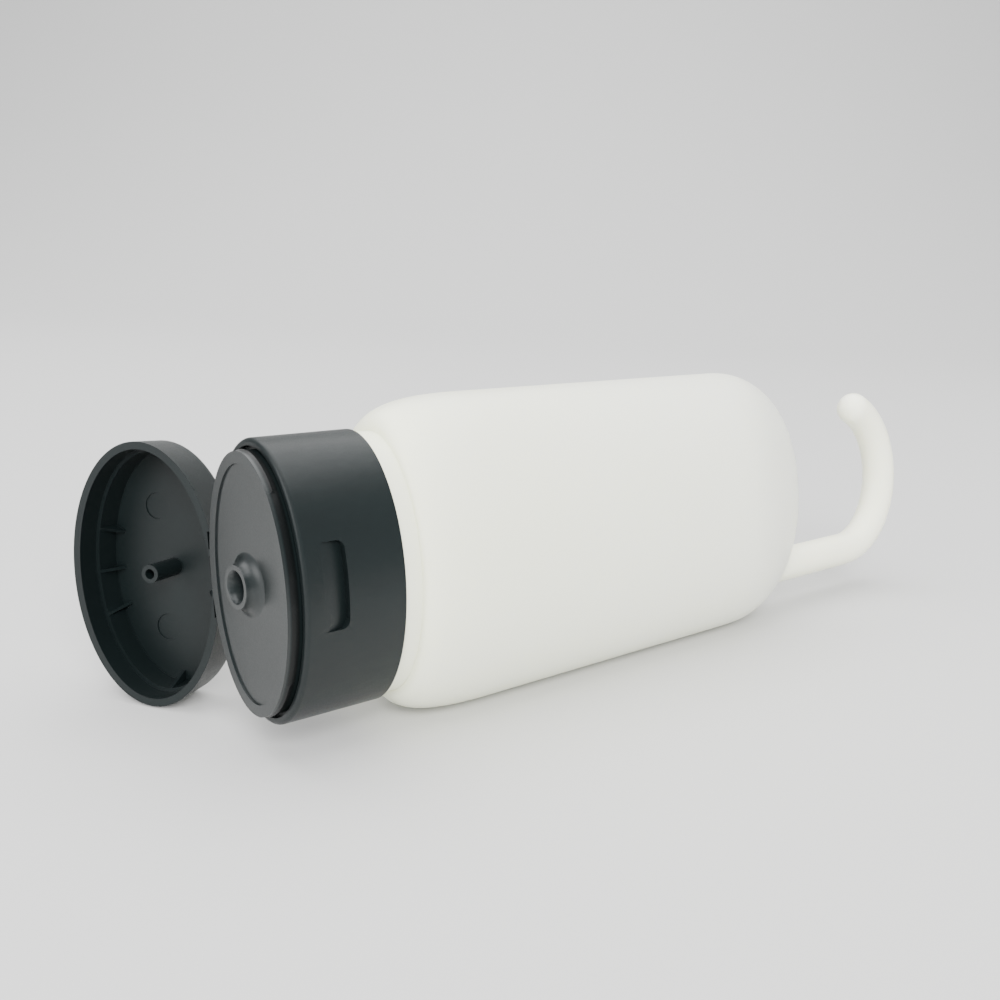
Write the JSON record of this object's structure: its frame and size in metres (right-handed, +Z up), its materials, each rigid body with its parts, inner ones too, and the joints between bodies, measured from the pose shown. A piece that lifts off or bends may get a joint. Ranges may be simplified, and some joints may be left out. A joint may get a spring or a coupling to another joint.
{
  "type": "detergent dispenser bottle",
  "caption": "Oval squeeze bottle with a press-fitted flip-top nozzle closure, lid swung open, and a hanging hook at the end of its body.",
  "frame": {"origin": "on the surface that the bottle lies on, under the middle of its box", "axes": "+X along the bottle from the closure to the hook, +Y towards the hinge and the open lid, +Z up"},
  "size_m": [0.224, 0.0664, 0.0626],
  "materials": {
    "translucent_body": "natural milky low-density polyethylene, blow-moulded, soft satin",
    "translucent_hook": "the same natural polyethylene, solid bar",
    "black_closure": "charcoal injection-moulded polypropylene, fine satin",
    "black_lid": "charcoal injection-moulded polypropylene, fine satin",
    "black_hinge": "thin flexed polypropylene"
  },
  "bodies": {
    "bottle": {"bottle_body": "translucent_body", "hanging_hook": "translucent_hook", "closure_base": "black_closure", "film_hinges": "black_hinge", "spring_strap": "black_hinge"},
    "lid": {"lid": "black_lid"}
  },
  "joints": [
    {"name": "lid_hinge", "type": "hinge", "parent": "bottle", "child": "lid", "pos_m": [-0.09461, 0.00108, 0.02851], "axis": [0, 0.1729, 0.9849], "range_deg": [-33, 147], "deforming": ["film_hinges", "spring_strap"]}
  ]
}
